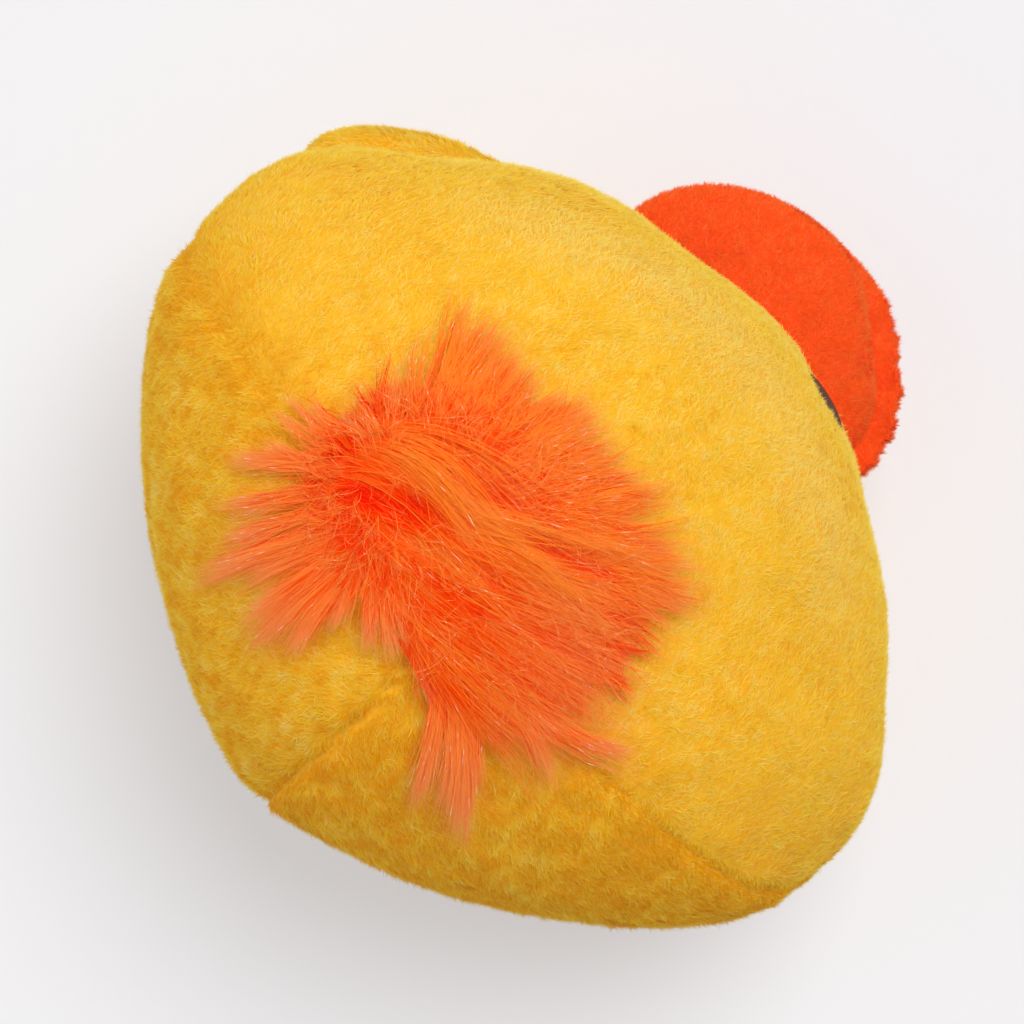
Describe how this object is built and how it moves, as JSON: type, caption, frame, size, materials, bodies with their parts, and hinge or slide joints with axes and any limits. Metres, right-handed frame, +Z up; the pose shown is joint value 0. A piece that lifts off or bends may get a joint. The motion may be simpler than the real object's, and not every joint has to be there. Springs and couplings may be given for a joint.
{
  "type": "plush duck toy",
  "caption": "Small stuffed duck toy: a round yellow short-pile body that sits flat, a padded orange bill with a ruffled flange, small dark eyes, stub wings and an orange long-pile tuft on the crown",
  "frame": {"origin": "on the underside of the flat base, under the middle of the body's widest line from side to side", "axes": "+Z is up, the bill faces -Y, and +X is the duck's own left, along the widest line of the body"},
  "size_m": [0.1219, 0.107, 0.1093],
  "materials": {
    "plush_yellow": "short brushed pile",
    "fibre_white": "loose fibre filling",
    "fleece_orange": "curled micro-fleece",
    "eye_brown": "satin thread",
    "fur_orange": "long soft fur in pointed locks"
  },
  "bodies": {
    "root": {"face_panel": "plush_yellow", "back_panel_left": "plush_yellow", "back_panel_right": "plush_yellow", "base_panel": "plush_yellow", "stuffing": "fibre_white", "bill_upper": "fleece_orange", "bill_lower": "fleece_orange", "bill_stuffing": "fibre_white", "eye_left": "eye_brown", "eye_right": "eye_brown", "wing_left": "plush_yellow", "wing_right": "plush_yellow", "tuft": "fur_orange"}
  },
  "joints": []
}
